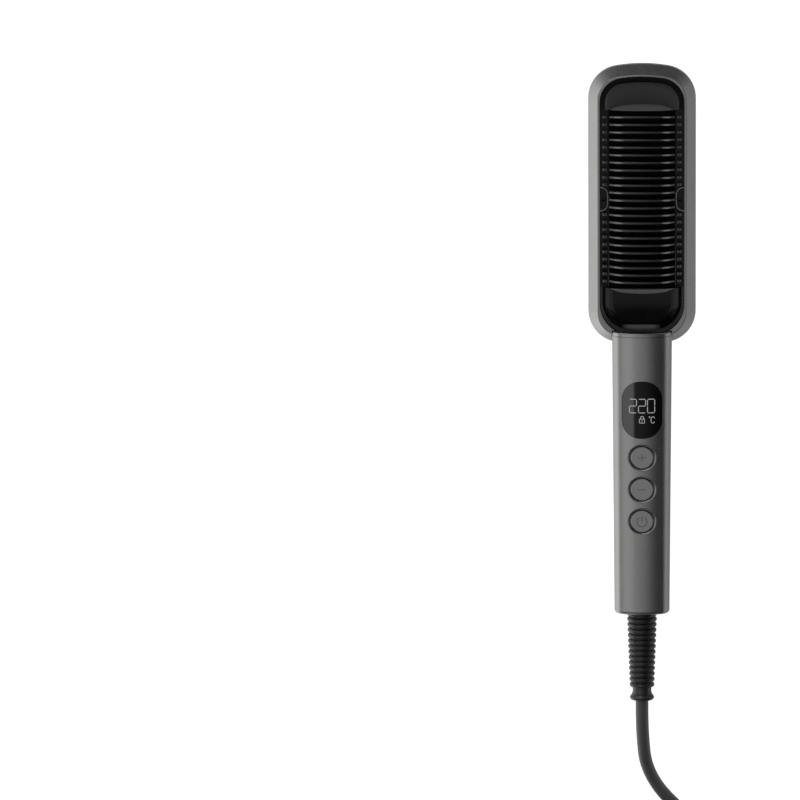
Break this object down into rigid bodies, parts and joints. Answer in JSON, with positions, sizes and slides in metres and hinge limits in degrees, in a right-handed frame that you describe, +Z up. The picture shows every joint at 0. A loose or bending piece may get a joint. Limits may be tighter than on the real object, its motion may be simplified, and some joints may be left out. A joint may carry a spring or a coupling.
{
  "type": "hair straightening brush",
  "caption": "Electric hair straightening brush: an oblong gunmetal head with an arched comb of heated fins, a straight handle with display and round buttons, and a mains cord.",
  "frame": {"origin": "bottom centre of the brush without its cord, on the surface that it lies on", "axes": "+X across the brush to the right, +Y along it towards the head's tip, +Z up, out of the comb's face"},
  "size_m": [0.0659, 0.6882, 0.0329],
  "materials": {
    "gunmetal_paint": "satin gunmetal paint on moulded plastic",
    "button_paint": "satin gunmetal paint on moulded plastic",
    "black_plastic": "satin moulded black",
    "coated_aluminium": "black ceramic coating on cast aluminium",
    "heater_ceramic": "fired, unglazed",
    "mica": "pressed mica sheet",
    "screw_steel": "zinc plated",
    "black_lens": "gloss smoked window",
    "board_laminate": "solder-masked laminate",
    "module_white": "moulded white",
    "swivel_nylon": "moulded grey nylon",
    "contact_brass": "stamped and turned brass",
    "cord_rubber": "matt black cord sheath",
    "lead_insulation": "silicone insulation",
    "tie_fabric": "black hook-and-loop strap",
    "plug_plastic": "moulded black",
    "pin_nickel": "nickel plated"
  },
  "bodies": {
    "housing": {"rear_housing": "gunmetal_paint", "handle_cover": "gunmetal_paint", "comb_frame": "black_plastic", "guard_rail_left": "black_plastic", "guard_rail_right": "black_plastic", "tact_switches": "black_plastic", "comb_fins": "coated_aluminium", "heating_plate": "coated_aluminium", "ceramic_heater": "heater_ceramic", "temperature_sensor": "heater_ceramic", "mica_sheet": "mica", "lug_screws": "screw_steel", "heater_clamp": "screw_steel", "clamp_screws": "screw_steel", "board_screws": "screw_steel", "cover_screws": "screw_steel", "thermal_fuse": "screw_steel", "display_lens": "black_lens", "control_board": "board_laminate", "display_module": "module_white", "swivel_bearing": "swivel_nylon", "contact_springs": "contact_brass", "cord_run": "cord_rubber", "cord_coil": "cord_rubber", "cord_tail": "cord_rubber", "heater_leads": "lead_insulation", "mains_leads": "lead_insulation", "cord_tie": "tie_fabric", "plug_body": "plug_plastic", "plug_pins": "pin_nickel"},
    "plus_key": {"plus_button": "button_paint", "plus_plunger": "module_white"},
    "minus_key": {"minus_button": "button_paint", "minus_plunger": "module_white"},
    "power_key": {"power_button": "button_paint", "power_plunger": "module_white"},
    "cord_swivel": {"swivel_core": "swivel_nylon", "slip_rings": "contact_brass", "strain_relief": "cord_rubber"}
  },
  "joints": [
    {"name": "plus_press", "type": "slide", "parent": "housing", "child": "plus_key", "axis": [0, 0, -1], "range_m": [0, 0.0005], "stiffness_N_per_m": 1000},
    {"name": "minus_press", "type": "slide", "parent": "housing", "child": "minus_key", "axis": [0, 0, -1], "range_m": [0, 0.0005], "stiffness_N_per_m": 1000},
    {"name": "power_press", "type": "slide", "parent": "housing", "child": "power_key", "axis": [0, 0, -1], "range_m": [0, 0.0005], "stiffness_N_per_m": 1000},
    {"name": "cord_turn", "type": "hinge", "parent": "housing", "child": "cord_swivel", "pos_m": [0, -0.142, 0.0155], "axis": [0, 1, 0], "continuous": true}
  ]
}
